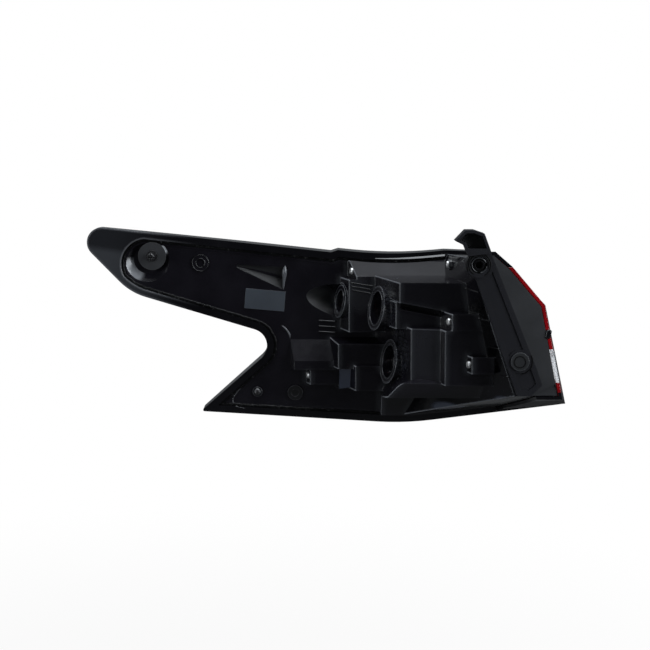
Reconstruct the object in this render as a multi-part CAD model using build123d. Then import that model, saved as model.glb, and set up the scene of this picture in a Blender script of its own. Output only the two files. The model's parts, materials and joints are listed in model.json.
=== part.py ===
from build123d import *
import os
from math import cos, radians, sin, sqrt, tan

# Tail light cluster, left-hand wrap-round lamp, in millimetres.
# x runs rearward, y outboard (the lens side), z up. The origin is the locating pin of the upper arm,
# in the plane of the rim's back face. The car body is on the -y side.

# Lens outline in the plane of the rim, as (x, z) corners
arm_tip = (-89.0, 33.0)
top_step_low = (178.0, 4.0)
top_step_high = (185.0, 6.3)
top_dip = (238.5, 0.8)
rear_top_left = (291.0, 6.0)
rear_top = (334.0, 4.5)
rear_shoulder = (353.0, -7.5)
rear_kink = (392.0, -49.0)
rear_low = (414.0, -149.0)
belly = (252.0, -169.0)
prong_tip = (47.0, -156.6)
notch = (131.0, -82.3)
arm_heel = (-22.0, -36.3)

# Corner radii of that outline
arm_tip_radius = 15.0
top_step_radius = 2.0
top_dip_radius = 400.0
rear_corner_radius = 5.0
kink_radius = 8.0
belly_radius = 300.0
prong_tip_radius = 1.5
notch_radius = 17.0
arm_heel_radius = 60.0

# Rear end of the lens, nearest the car body, as (x, z) corners
end_depth = 125.0
end_top_left = (299.0, 14.0)
end_top = (327.0, 16.0)
end_shoulder = (343.0, 2.0)
end_kink = (373.0, -33.0)
end_low = (391.0, -121.0)
end_bottom_left = (347.0, -121.0)
rear_bottom_left = (235.0, -166.0)

# Lens shell
lens_wall = 3.0
rim_width = 7.0
rim_depth = 8.0
dome_height = 30.0
dome_radius_long = 1500.0
dome_radius_high = 600.0
dome_centre = (150.0, -70.0)
dome_reach = 200.0
end_parting = ((316.0, 15.0), (368.0, -121.0))
rear_parting = ((322.0, 5.0), (345.0, -160.0))
clear_corners = ((318.0, -82.0), (420.0, -68.0), (420.0, -105.0), (300.0, -104.0))
dark_foot = ((300.0, -114.0), (420.0, -114.0), (420.0, -200.0), (300.0, -200.0))
dark_head = ((290.0, 60.0), (420.0, 60.0), (420.0, 2.0), (290.0, 2.0))
colour_lean = (0.12, 1.0, -0.16)

# Housing moulding
wall = 2.5
fit = 0.6
groove_width = 2.2
joint_lap = 4.0
floor_y = 3.0
edge_round = 1.5
draft = 18.0
chamber_right = 330.0
chamber_near = -118.0

# Blocks of the housing: step edges as (x, y, y where the tread ends), roof line as (y, z), underside z at the
# first edge and, where they differ from the others, how much the underside falls for each millimetre to the
# rear and how far the wall leans
blocks = {
    "arm_step": dict(edges=[(195.5, -22.0, -22.0)], roof=[(0.0, -21.0), (-22.0, -21.0)], under=-73.0),
    "roof_step": dict(edges=[(203.0, -22.0, -22.0)], roof=[(0.0, -3.0), (-22.0, -18.0)], under=-73.0),
    "upper_step": dict(
        edges=[(242.0, -86.0, -90.0)],
        roof=[(0.0, -17.0), (-9.0, -17.0)],
        under=-36.2,
        fall=0.19,
    ),
    "middle_step": dict(edges=[(239.0, -77.0, -82.0)], roof=[(0.0, -36.0), (-9.0, -36.0)], under=-62.0),
    "lower_step": dict(
        edges=[(253.0, -88.0, -94.0), (284.0, -104.0, -106.0)],
        roof=[(0.0, -60.0), (-9.0, -60.0)],
        under=-112.0,
    ),
    "prong_ledge": dict(edges=[(141.0, -9.0, -9.0)], roof=[(0.0, -89.0), (-9.0, -104.0)], under=-113.0),
    "prong_step": dict(edges=[(157.0, -8.0, -8.0)], roof=[(0.0, -104.0), (-8.0, -106.0)], under=-128.0),
    "prong_corner": dict(edges=[(185.0, -22.0, -22.0)], roof=[(0.0, -82.0), (-22.0, -85.0)], under=-110.0),
    "prong_facet": dict(
        edges=[(197.0, -12.0, -12.0)],
        roof=[(0.0, -106.0), (-9.0, -106.0)],
        under=-131.0,
        lean=37.0,
    ),
    "prong_foot": dict(edges=[(202.0, -27.0, -27.0)], roof=[(0.0, -106.0), (-9.0, -106.0)], under=-131.0),
    "screw_boss_high": dict(edges=[(290.0, -106.0, -106.0)], roof=[(0.0, -44.0), (-9.0, -44.0)], under=-60.0),
    "screw_boss_low": dict(edges=[(308.0, -115.0, -115.0)], roof=[(0.0, -83.0), (-9.0, -83.0)], under=-99.0),
}
open_pairs = (("upper_step", "middle_step"), ("middle_step", "lower_step"))
slot_span = (243.5, 282.0)
slot_height = 7.2
slot_far = -64.0
belly_profile = ((-80.0, -104.0), (-97.0, -111.0), (-90.0, -126.0), (-20.0, -138.0), (-10.0, -163.0))
belly_shoulder = ((228.0, -129.0), (243.0, -111.0), (275.0, -105.0))
belly_round = 16.0

# Bulb holes: block, depth of the centre on its wall, height, radius, how far the collar stands out, reflector depth
bulb_holes = {
    "side": dict(block="arm_step", y=-2.5, z=-45.0, radius=11.0, collar=3.0, cup=6.0),
    "upper": dict(block="middle_step", y=-45.0, z=-47.0, radius=16.0, collar=8.0, cup=14.0),
    "lower": dict(block="lower_step", y=-45.0, z=-99.0, radius=16.0, collar=6.0, cup=14.0),
}

# Bulb holes: upward tilt, collar, the neck behind it and the scoop that lets a holder in
bulb_lift = 9.0
collar_wall = 5.5
neck_step = 4.0
neck_wall = 2.0
scoop_clearance = 1.5
scoop_length = 38.0
scoop_taper = 2.0

# Arm end: pocket, the boss in it, locating pin and soft washer
pocket_centre = (-5.0, -4.0)
pocket_radius = 22.0
tray_end = (-5.0, -8.4)
tray_end_radius = 23.6
pocket_draft = 8.0
pocket_y = 8.0
pin_radius = 4.0
pin_root_radius = 5.5
pin_reach = 14.0
pin_slot = 1.2
washer_radius = 13.8
washer_thickness = 2.5

# Blind scoop in the arm, as its point and its end in (x, z) and its radius there
arm_scoop_point = (84.0, -10.0)
arm_scoop_end = (131.0, -22.0)
arm_scoop_radius = 14.0
arm_scoop_sink = -8.0

# End bracket
bracket_plate = 3.0
panel_foot = ((356.0, -120.0), (384.0, -106.5))
panel_step = 1.0
strip_corners = (
    (301.0, 13.0),
    (322.0, 16.0),
    (366.0, -92.0),
    (371.0, -106.0),
    (361.0, -116.0),
    (348.0, -116.0),
)
strip_height = 9.0
strip_recess = 1.0
strip_round = 2.0
hook_corners = (
    (289.0, 27.0),
    (298.0, 36.5),
    (306.0, 36.5),
    (315.5, 33.3),
    (322.0, 16.0),
    (301.0, 13.0),
    (297.0, 23.0),
)
hook_height = 16.0
hook_floor_z = 20.0
bracket_screw_at = (311.0, 5.0)
bracket_boss_radius = 11.5
bracket_boss_height = 4.0
sleeve_bore_radius = 3.3
sleeve_wall = 1.5
grommet_wall = 3.0
grommet_recess = 1.5
plug_at = (350.0, -84.0)
plug_radius = 7.0
plug_head_radius = 8.5
plug_head = 1.5
plug_depth = 5.0

# Small pieces
screw_head_radius = 3.6
screw_head_height = 2.4
screw_shank_radius = 1.8
screw_length = 9.0
screw_clearance = 0.2
screw_boss_radius = 5.5
label_size = (40.0, 20.0)
label_thickness = 0.4
label_at = (112.0, -44.0)
label_turn = -5.0
ring_boss_at = (48.0, -7.0)
ring_boss_radius = 8.5
ring_boss_bore = 4.0
ring_boss_height = 1.5
vent_at = (142.0, -138.0)
vent_radius = 7.5
vent_height = 2.5
tray_screw_at = (104.0, -137.0)

# Screws of the reflectors: block whose wall carries the screw, depth and height there
wall_screws = [
    ("roof_step", -9.0, -14.0),
    ("screw_boss_high", -99.0, -52.0),
    ("screw_boss_low", -109.0, -91.0),
    ("prong_step", -3.5, -119.0),
]
rear_screw_at = (292.0, -32.0, -5.0)
rear_screw_boss = 8.0

# Inner pieces
bezel_gap = 5.0
bezel_thickness = 2.0
bezel_left = 24.0
seat_gap = 0.3
cup_wall = 1.5
cup_flare = 5.0
bezel_windows = (
    ((100.0, -36.0), (110.0, 16.0)),
    ((236.0, -48.0), (60.0, 52.0)),
    ((312.0, -96.0), (70.0, 44.0)),
)
bezel_window_round = 6.0
blade_centre = (85.0, -47.0)
blade_length = 100.0
blade_turn = -16.0
blade_width = 8.0
blade_depth = 6.0
reflex_corners = ((114.0, -146.0), (124.0, -122.0), (150.0, -122.0), (150.0, -148.0))
reflex_thickness = 4.0

wall_normal = Vector(-cos(radians(draft)), -sin(radians(draft)), 0)
bulb_axis = wall_normal * cos(radians(bulb_lift)) + Vector(0, 0, sin(radians(bulb_lift)))
floor_far = floor_y + wall
pin_seat_y = washer_thickness
beyond = 60.0
space = 1200.0


def across(sketch, far, near):
    return extrude(Plane.XZ.offset(-far) * sketch, amount=far - near)


def upright(sketch, low, high):
    return extrude(Plane.XY.offset(low) * sketch, amount=high - low)


def sideways(sketch, left, right):
    return extrude(Plane.YZ.offset(left) * sketch, amount=right - left)


def polygon(points):
    return make_face(Polyline(*points, close=True))


def inset(sketch, amount):
    return offset(sketch, amount=-amount, kind=Kind.INTERSECTION)


def disc(centre, radius):
    return Pos(*centre) * Circle(radius)


def tube(near, far, near_y, far_y, amount):
    near_face = Plane.XZ.offset(-near_y) * inset(polygon(near), amount)
    far_face = Plane.XZ.offset(-far_y) * inset(polygon(far), amount)
    return loft([near_face, far_face], ruled=True)


def dome(depth):
    # Barrel whose outboard face is the lens surface, set in by depth
    radius_long = dome_radius_long - depth
    radius_high = dome_radius_high - depth
    edge = radius_long - radius_high + sqrt(radius_high**2 - dome_reach**2)
    arc = ThreePointArc((-edge, -dome_reach), (-radius_long, 0), (-edge, dome_reach))
    sides = Polyline((-edge, dome_reach), (0, dome_reach), (0, -dome_reach), (-edge, -dome_reach))
    profile = make_face([arc, sides])
    middle = (dome_centre[0], dome_height - dome_radius_long, dome_centre[1])
    seat = Plane(middle, x_dir=(0, 1, 0), z_dir=(1, 0, 0))
    return revolve(seat * profile, axis=Axis(seat.origin, (0, 0, 1)))


def wall_point(edge, y, lean=draft):
    return edge[0] - (y - edge[1]) * tan(radians(lean))


def stair(edges, far, right, lean):
    points = [(wall_point(edges[0], far, lean), far)]
    for this, following in zip(edges, edges[1:]):
        points += [this[:2], (wall_point(following, this[2], lean), this[2])]
    last = edges[-1]
    return polygon(points + [last[:2], (right, last[2]), (right, far)])


outline = make_face(
    FilletPolyline(
        arm_tip,
        top_step_low,
        top_step_high,
        top_dip,
        rear_top_left,
        rear_top,
        rear_shoulder,
        rear_kink,
        rear_low,
        belly,
        prong_tip,
        notch,
        arm_heel,
        radius=[
            arm_tip_radius,
            top_step_radius,
            top_step_radius,
            top_dip_radius,
            rear_corner_radius,
            rear_corner_radius,
            rear_corner_radius,
            kink_radius,
            rear_corner_radius,
            belly_radius,
            prong_tip_radius,
            notch_radius,
            arm_heel_radius,
        ],
        close=True,
    )
)
end_corners = [end_top_left, end_top, end_shoulder, end_kink, end_low, end_bottom_left]
rear_corners = [rear_top_left, rear_top, rear_shoulder, rear_kink, rear_low, rear_bottom_left]


def tray(amount):
    # Outline of the housing's tray, set in by amount, with a round end at the arm's pocket
    body = inset(outline, rim_width + groove_width + amount)
    tip = Pos(*tray_end) * Rectangle(space, space, align=(Align.MAX, Align.CENTER))
    return body - tip + (disc(tray_end, tray_end_radius - amount) & body)


tray_outline = tray(0)
seal_outline = tray(-groove_width)
tray_inside = tray(wall)
lens_inside = inset(outline, lens_wall)
bezel_front = lens_wall + bezel_gap
bezel_back = bezel_front + bezel_thickness
all_z = (-200.0, 60.0)


def parting(shift):
    # Everything on the housing's side of the joint between housing and rear lens
    def face(y, ends):
        (top_x, top_z), (low_x, low_z) = ends
        lean = (low_x - top_x) / (low_z - top_z)
        left, (low, high) = arm_tip[0], all_z
        right = [(top_x + (z - top_z) * lean - shift, z) for z in (high, low)]
        return Plane.XZ.offset(-y) * polygon([(left, low), (left, high), *right])

    return loft([face(-end_depth - wall, end_parting), face(0, rear_parting)], ruled=True)


def colour_zone(corners):
    # Lens colours change along planes that lean with the rear face
    start = Plane.XZ.offset(end_depth + wall) * polygon(corners)
    return extrude(start, amount=end_depth + beyond, dir=colour_lean)


def make_lens():
    shell = across(outline, dome_height + wall, 0) & dome(0)
    shell -= across(lens_inside, dome_height + wall, -wall) & dome(lens_wall)
    rear = tube(end_corners, rear_corners, -end_depth, 0, 0) - parting(0)
    rear -= tube(end_corners, rear_corners, -end_depth, 0, lens_wall)
    rim = across(outline - seal_outline, rim_depth, 0)
    side_wall = across(outline - lens_inside, dome_height, 0) & dome(0)
    rear_zone = polygon(
        [
            (rear_parting[0][0], all_z[1]),
            (rear_low[0] + wall, all_z[1]),
            (rear_low[0] + wall, rear_low[1] + rim_width),
            (rear_low[0] - rim_width, rear_low[1] + rim_width),
        ]
    )
    border = rim + side_wall - across(rear_zone, dome_height, 0)
    for corners in (dark_foot, dark_head):
        border += rear & colour_zone(corners)
    shell += rear
    shell -= border
    clear_zone = colour_zone(clear_corners)
    return border, shell - clear_zone, shell & clear_zone


def height_at(start, end, y):
    return start[1] + (end[1] - start[1]) * (y - start[0]) / (end[0] - start[0])


def side_view(roof, under, far, near):
    first = (far, height_at(roof[0], roof[1], far))
    last = (near, height_at(roof[-2], roof[-1], near))
    return polygon([first] + roof[1:-1] + [last, (near, under), (far, under)])


def rounded(sketch, radius):
    return fillet(sketch.vertices(), radius)


def make_block(edges, roof, under, fall=0.0, lean=draft):
    near = edges[-1][2] - wall
    span = (arm_tip[0], rear_low[0])
    lowest = under - fall * (chamber_right - edges[0][0])
    plan = rounded(stair(edges, floor_far, chamber_right, lean), edge_round)
    outer = upright(plan, *all_z) & sideways(side_view(roof, lowest, floor_far, near), *span)
    open_far = floor_far + 2 * wall
    open_plan = inset(stair(edges, open_far, chamber_right + wall, lean), wall)
    open_side = inset(side_view(roof, lowest, open_far, near), wall)
    inner = upright(open_plan, *all_z) & sideways(open_side, *span)
    if fall:
        ends = [(x, under - fall * (x - edges[0][0])) for x in span]
        below = polygon([*ends, (span[1], all_z[0]), (span[0], all_z[0])])
        outer -= across(below, open_far, near)
        inner -= across(Pos(0, wall) * below, open_far, near)
    return outer, inner


def make_belly():
    def form(far, amount):
        high, low = belly_profile[0][1], belly_profile[-1][1]
        side = polygon([(far, high), *belly_profile, (far, low)])
        left = belly_shoulder[0][0]
        front = polygon([(left, low - wall), *belly_shoulder, (chamber_right, high), (chamber_right, low - wall)])
        inner_corners = front.vertices().filter_by(lambda point: (point.X, point.Y) in belly_shoulder)
        front = fillet(inner_corners, belly_round)
        return sideways(inset(side, amount), left, chamber_right) & across(inset(front, amount), far, chamber_near)

    return form(floor_far, 0), form(floor_far + 2 * wall, wall)


def make_rear_box():
    margin = lens_wall + fit
    end_y = bracket_plate - end_depth
    everywhere = Rectangle(space, space)
    outer = tube(end_corners, rear_corners, -end_depth, 0, margin)
    outer -= across(everywhere, end_y, -2 * end_depth)
    inner = tube(end_corners, rear_corners, -end_depth, 0, margin + wall)
    inner += across(inset(polygon(rear_corners), margin + wall), floor_far + wall, 0)
    inner += across(everywhere, 0, -2 * end_depth) - parting(-joint_lap)
    return outer, inner - across(everywhere, end_y + wall, -2 * end_depth)


def bulb_plane(hole):
    edge = blocks[hole["block"]]["edges"][0]
    centre = (wall_point(edge, hole["y"]), hole["y"], hole["z"])
    return Plane(centre, x_dir=(0, 0, 1), z_dir=bulb_axis)


def collar_root(hole):
    # How far the collar reaches back so that its tilted foot lies wholly behind the wall
    return wall + (hole["radius"] + collar_wall) * tan(radians(bulb_lift))


def on_axis(plane, start, radius, length, end_radius=None):
    place = plane * Pos(0, 0, start)
    if end_radius is None:
        return place * Cylinder(radius, length, align=(Align.CENTER, Align.CENTER, Align.MIN))
    return place * Cone(radius, end_radius, length, align=(Align.CENTER, Align.CENTER, Align.MIN))


def facing_car(centre, y):
    return Plane((centre[0], y, centre[1]), x_dir=(1, 0, 0), z_dir=(0, -1, 0))


def scoops(extra):
    # Hollow that lets a bulb holder reach the side hole, the blind one in the arm and the slot under the
    # upper step, grown by extra
    side = bulb_holes["side"]
    radius = side["radius"] + collar_wall + scoop_clearance + extra
    found = [on_axis(bulb_plane(side), -extra, radius, scoop_length + extra, radius - scoop_taper)]
    point = Vector(arm_scoop_point[0], floor_y, arm_scoop_point[1])
    end = Vector(arm_scoop_end[0], floor_y + arm_scoop_sink, arm_scoop_end[1])
    plane = Plane(end, x_dir=(0, 0, 1), z_dir=point - end)
    found.append(on_axis(plane, -extra, arm_scoop_radius + extra, (point - end).length + extra, edge_round))
    step = blocks["upper_step"]
    slot = []
    for x, shift in zip(slot_span, (-extra, extra)):
        top = step["under"] - step["fall"] * (x - step["edges"][0][0]) + fit
        slot += [(x + shift, top + extra), (x + shift, top - slot_height - extra)]
    found.append(across(polygon([slot[0], slot[2], slot[3], slot[1]]), slot_far + extra, chamber_near))
    return found


def make_housing():
    tray = across(tray_outline, floor_far, floor_y)
    inside_rim = across(tray_outline, floor_far, chamber_near)
    shells = {name: make_block(**block) for name, block in blocks.items()}
    rear_outer, cavity = make_rear_box()
    outers = tray + rear_outer
    for outer, inner in [*shells.values(), make_belly()]:
        outers += outer & inside_rim
        cavity += inner
    for above, below in open_pairs:
        # The two insides join where both reach past the walls between them
        cavity += Pos(0, 0, -3 * wall) * shells[above][1] & Pos(0, 0, 3 * wall) * shells[below][1]
    foot = across(tray_outline - tray_inside, dome_height, pin_seat_y)
    room = dome(bezel_back + seat_gap)
    body = outers + (foot & room) - cavity
    under_skin = (outers + across(tray_outline, dome_height, floor_y)) & room
    for skin in scoops(wall):
        body += skin & under_skin
    for hollow in scoops(0):
        body -= hollow
    for hole in bulb_holes.values():
        plane = bulb_plane(hole)
        root = collar_root(hole)
        length = root + hole["collar"]
        body += on_axis(plane, -root - neck_wall, hole["radius"] + collar_wall, length + neck_wall)
        body -= on_axis(plane, -root - neck_wall, hole["radius"] - neck_step, neck_wall)
        body -= on_axis(plane, -root, hole["radius"], length + fit)
    return body, cavity & room


def screw(plane):
    cap = screw_head_height / 2
    head = on_axis(plane, 0, screw_head_radius, cap)
    head += on_axis(plane, cap, screw_head_radius, cap, screw_head_radius - cap)
    return head + on_axis(plane, -screw_length, screw_shank_radius, screw_length)


def screw_planes():
    planes = []
    for block, y, z in wall_screws:
        edge = [edge for edge in blocks[block]["edges"] if edge[1] < y][0]
        planes.append(Plane((wall_point(edge, y), y, z), x_dir=(0, 0, 1), z_dir=wall_normal))
    planes.append(Plane(rear_screw_at, x_dir=(0, 0, 1), z_dir=(-1, 0, 0)))
    return planes


def dress_housing(body):
    rear_boss = screw_planes()[-1]
    body += on_axis(rear_boss, -rear_screw_boss, screw_boss_radius, rear_screw_boss)
    hole_radius = screw_shank_radius + screw_clearance
    for plane in screw_planes():
        body -= on_axis(plane, -screw_length - wall, hole_radius, screw_length + 2 * wall)
    pocket = facing_car(pocket_centre, pocket_y)
    depth = pocket_y - floor_y
    skin = on_axis(pocket, -wall, pocket_radius - pocket_draft + wall, depth + wall, pocket_radius + wall)
    body += skin & across(tray_outline, dome_height, floor_y)
    hollow = on_axis(pocket, 0, pocket_radius - pocket_draft, depth, pocket_radius)
    body -= hollow & across(tray_inside, dome_height, floor_y)
    body += on_axis(facing_car((0, 0), pocket_y), 0, washer_radius, pocket_y - pin_seat_y)
    ring = facing_car(ring_boss_at, floor_y)
    body += on_axis(ring, 0, ring_boss_radius, ring_boss_height)
    body -= on_axis(ring, 0, ring_boss_bore, ring_boss_height)
    tray_screw = facing_car(tray_screw_at, floor_y)
    body += on_axis(tray_screw, 0, screw_boss_radius, ring_boss_height)
    body -= on_axis(tray_screw, -2 * wall, hole_radius, 4 * wall)
    return body


def make_bracket():
    plate_far = bracket_plate - end_depth
    strip_near = -end_depth - strip_height
    hook_near = -end_depth - hook_height
    strip = rounded(polygon(strip_corners), strip_round)
    hook = polygon(hook_corners)
    panel = inset(polygon(end_corners), lens_wall + fit)
    foot = polygon([*panel_foot, (rear_low[0], all_z[0]), (panel_foot[0][0], all_z[0])])
    body = across(panel, plate_far, -end_depth) - across(foot, panel_step - end_depth, -end_depth)
    body += across(strip, -end_depth, strip_near)
    body += across(hook, -end_depth - fit, hook_near)
    body -= across(inset(strip, wall), plate_far, strip_near + wall)
    recess = inset(polygon(strip_corners), 2 * wall)
    recess -= disc(bracket_screw_at, bracket_boss_radius + wall)
    recess -= disc(plug_at, plug_head_radius + wall)
    body -= across(recess, strip_near + strip_recess, strip_near)
    hollow = inset(hook, wall)
    hollow -= Pos(0, hook_floor_z) * Rectangle(space, space, align=(Align.CENTER, Align.MAX))
    body -= across(hollow, -end_depth - fit - wall, hook_near)
    boss = facing_car(bracket_screw_at, plate_far)
    boss_length = bracket_plate + strip_height + bracket_boss_height
    body += across(disc(bracket_screw_at, bracket_boss_radius) & panel, plate_far, -end_depth)
    body += on_axis(boss, bracket_plate, bracket_boss_radius, boss_length - bracket_plate)
    sleeve_radius = sleeve_bore_radius + sleeve_wall
    grommet_radius = sleeve_radius + grommet_wall
    body -= on_axis(boss, 0, grommet_radius, boss_length)
    sleeve = on_axis(boss, 0, sleeve_radius, boss_length)
    sleeve -= on_axis(boss, 0, sleeve_bore_radius, boss_length)
    grommet = on_axis(boss, 0, grommet_radius, boss_length - grommet_recess)
    grommet -= on_axis(boss, 0, sleeve_radius, boss_length)
    plug_seat = facing_car(plug_at, strip_near)
    body -= on_axis(plug_seat, -wall, plug_radius + screw_clearance, 2 * wall)
    plug = on_axis(plug_seat, 0, plug_head_radius, plug_head)
    plug += on_axis(plug_seat, -plug_depth, plug_radius, plug_depth)
    return {"end_bracket": body, "bracket_sleeve": sleeve, "bracket_grommet": grommet, "bracket_plug": plug}


def make_arm_fixing():
    seat = facing_car((0, 0), pin_seat_y)
    pin_length = pin_seat_y + pin_reach
    pin = on_axis(seat, 0, pin_radius, pin_length)
    tip = pin.faces().sort_by(Axis.Y)[0]
    pin = chamfer(tip.edges(), pin_radius / 4)
    slot = seat * Pos(0, 0, pin_length - pin_reach / 2) * Box(
        2 * pin_radius, pin_slot, pin_reach, align=(Align.CENTER, Align.CENTER, Align.MIN)
    )
    pin -= slot
    pin -= slot.rotate(Axis((0, 0, 0), (0, 1, 0)), 90)
    pin += on_axis(seat, 0, pin_root_radius, washer_thickness)
    washer = on_axis(seat, 0, washer_radius, washer_thickness)
    washer -= on_axis(seat, 0, pin_root_radius + screw_clearance, washer_thickness)
    return {"locating_pin": pin, "pin_washer": washer}


def make_small_pieces():
    label = facing_car(label_at, floor_y) * Rot(0, 0, label_turn) * Box(
        *label_size, label_thickness, align=(Align.CENTER, Align.CENTER, Align.MIN)
    )
    vent_seat = facing_car(vent_at, floor_y)
    vent = on_axis(vent_seat, 0, vent_radius, vent_height)
    vent -= on_axis(vent_seat, vent_height / 2, vent_radius / 2, vent_height)
    tray_screw = screw(facing_car(tray_screw_at, floor_y - ring_boss_height))
    screws = Compound([screw(plane).solids()[0] for plane in screw_planes()])
    return {"label": label, "vent_cap": vent, "tray_screw": tray_screw, "reflector_screws": screws}


def make_sealant():
    ring = seal_outline - tray_outline
    rear = inset(polygon(rear_corners), lens_wall + fit)
    return across(ring - rear, floor_far, pin_seat_y).solids().sort_by(SortBy.VOLUME)[-1]


def make_inside(cavity):
    pieces = {}
    for name, hole in bulb_holes.items():
        plane = bulb_plane(hole)
        depth = hole["cup"]
        neck = hole["radius"]
        start = -collar_root(hole) - neck_wall - depth
        cup = on_axis(plane, start, neck + cup_flare, depth, neck)
        cup -= on_axis(plane, start, neck + cup_flare - cup_wall, depth - cup_wall, neck - cup_wall)
        cup -= on_axis(plane, start, neck - neck_step + fit, depth)
        cup = cup & cavity
        for skin in scoops(wall):
            cup -= skin
        pieces[f"reflector_{name}"] = cup.solids().sort_by(SortBy.VOLUME)[-1]
    sheet = tray_outline - Pos(bezel_left, 0) * Rectangle(space, space, align=(Align.MAX, Align.CENTER))
    bezel = across(sheet, dome_height, -beyond) & dome(bezel_front)
    bezel -= dome(bezel_back)
    for centre, size in bezel_windows:
        bezel -= across(Pos(*centre) * RectangleRounded(*size, bezel_window_round), dome_height, -beyond)
    pieces["inner_bezel"] = bezel
    blade = Pos(*blade_centre) * Rot(0, 0, blade_turn) * SlotOverall(blade_length, blade_width)
    pieces["light_blade"] = across(blade, floor_far + blade_depth, floor_far)
    pieces["reflex_reflector"] = across(polygon(reflex_corners), floor_far + reflex_thickness, floor_far)
    return pieces


lens_border, lens_red, lens_clear = make_lens()
housing, cavity = make_housing()
housing = dress_housing(housing).solids().sort_by(SortBy.VOLUME)[-1]
nodes = {
    "housing": housing,
    "lens_border": lens_border,
    "lens_red": lens_red,
    "lens_clear": lens_clear,
    "sealant_bead": make_sealant(),
    **make_bracket(),
    **make_arm_fixing(),
    **make_small_pieces(),
    **make_inside(cavity),
}

os.makedirs("parts", exist_ok=True)
for name, shape in nodes.items():
    print(name, round(shape.volume), len(shape.solids()), shape.is_valid)
    export_step(shape, f"parts/{name}.step")
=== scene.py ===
import json
import math

import bmesh
import bpy
from mathutils import Matrix, Vector
from mathutils.bvhtree import BVHTree


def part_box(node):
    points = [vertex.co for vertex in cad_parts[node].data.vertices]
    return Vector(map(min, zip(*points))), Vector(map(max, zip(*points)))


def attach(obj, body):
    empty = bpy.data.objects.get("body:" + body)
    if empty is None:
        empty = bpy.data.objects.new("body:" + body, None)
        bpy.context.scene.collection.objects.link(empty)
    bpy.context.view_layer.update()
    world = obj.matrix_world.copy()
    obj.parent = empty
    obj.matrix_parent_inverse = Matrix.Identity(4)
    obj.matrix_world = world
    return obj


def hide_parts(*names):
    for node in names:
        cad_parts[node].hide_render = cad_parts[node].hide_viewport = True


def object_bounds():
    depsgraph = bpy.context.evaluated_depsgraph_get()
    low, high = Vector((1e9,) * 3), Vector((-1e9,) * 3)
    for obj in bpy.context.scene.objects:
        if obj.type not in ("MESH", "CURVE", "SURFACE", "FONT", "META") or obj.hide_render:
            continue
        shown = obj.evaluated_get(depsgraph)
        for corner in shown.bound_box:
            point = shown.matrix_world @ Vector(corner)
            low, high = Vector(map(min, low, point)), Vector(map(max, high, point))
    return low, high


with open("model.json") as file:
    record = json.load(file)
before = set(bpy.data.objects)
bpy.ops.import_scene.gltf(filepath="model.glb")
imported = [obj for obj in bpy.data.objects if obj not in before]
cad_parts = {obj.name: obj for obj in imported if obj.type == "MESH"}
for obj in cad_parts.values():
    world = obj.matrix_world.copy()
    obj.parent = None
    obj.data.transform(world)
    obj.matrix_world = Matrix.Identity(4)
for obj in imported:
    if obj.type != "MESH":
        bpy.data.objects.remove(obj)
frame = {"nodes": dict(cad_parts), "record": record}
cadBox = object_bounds()
nodes = frame["nodes"]
scene = bpy.context.scene
print("frame loaded:", len(nodes), "nodes")


# shader maths: a wire is one socket of a node tree
class Wire:
    def __init__(self, tree, socket=None):
        self.tree = tree
        self.socket = socket

    def plug(self, place, value):
        if isinstance(value, Wire):
            self.tree.links.new(value.socket, place)
        else:
            place.default_value = value

    def node(self, kind, settings=None, sockets=None, out=0):
        made = self.tree.nodes.new(kind)
        for name, value in (settings or {}).items():
            if name == "stops":  # a ramp's stops as (place, grey or colour)
                ramp = made.color_ramp
                while len(ramp.elements) < len(value):
                    ramp.elements.new(0.5)
                for stop, (at, tone) in zip(ramp.elements, value):
                    stop.position = at
                    stop.color = (tone, tone, tone, 1) if isinstance(tone, float) else (*tone, 1)
            else:
                setattr(made, name, value)
        for name, value in (sockets or {}).items():
            self.plug(made.inputs[name], value)
        return Wire(self.tree, made.outputs[out])

    def maths(self, operation, first, second):
        return self.node("ShaderNodeMath", dict(operation=operation), {0: first, 1: second})

    def __add__(self, other):
        return self.maths("ADD", self, other)

    def __radd__(self, other):
        return self.maths("ADD", other, self)

    def __sub__(self, other):
        return self.maths("SUBTRACT", self, other)

    def __rsub__(self, other):
        return self.maths("SUBTRACT", other, self)

    def __mul__(self, other):
        return self.maths("MULTIPLY", self, other)

    def __rmul__(self, other):
        return self.maths("MULTIPLY", other, self)

    def clamped(self):
        return self.node("ShaderNodeClamp", None, {"Value": self})

    def mixed(self, low, high):  # two colours mixed by this wire
        sockets = {0: self, 6: low, 7: high}
        return self.node("ShaderNodeMix", dict(data_type="RGBA", clamp_factor=True), sockets, 2)

    def ramp(self, *stops):
        return self.node("ShaderNodeValToRGB", dict(stops=stops), {"Fac": self})


def startMaterial(name):
    made = bpy.data.materials.new(name)
    made.use_nodes = True
    made.node_tree.nodes.clear()
    return made, Wire(made.node_tree)


def endTree(wire, shader, kind="ShaderNodeOutputMaterial"):
    out = wire.tree.nodes.new(kind)
    wire.plug(out.inputs["Surface"], shader)


def here(wire):
    return wire.node("ShaderNodeTexCoord", out="Object")


def places(wire, stretch=(1, 1, 1)):
    return wire.node("ShaderNodeMapping", None, {"Vector": here(wire), "Scale": stretch})


def part(wire, vector, axis):
    # one axis of a vector
    return wire.node("ShaderNodeSeparateXYZ", None, {0: vector}, axis)


def faceNormal(wire):
    return wire.node("ShaderNodeNewGeometry", out="Normal")


def distance(wire, vector):
    return wire.node("ShaderNodeVectorMath", dict(operation="LENGTH"), {0: vector}, "Value")


def noise(wire, where, scale, detail=3.0, rough=0.55):
    sockets = {"Vector": where, "Scale": scale, "Detail": detail, "Roughness": rough}
    return wire.node("ShaderNodeTexNoise", None, sockets)


def roundedEdge(wire, radius, samples=4):
    return wire.node("ShaderNodeBevel", dict(samples=samples), {"Radius": radius})


def bumped(wire, height, depth, normal):
    sockets = {"Strength": 1.0, "Distance": depth, "Height": height, "Normal": normal}
    return wire.node("ShaderNodeBump", None, sockets)


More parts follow.
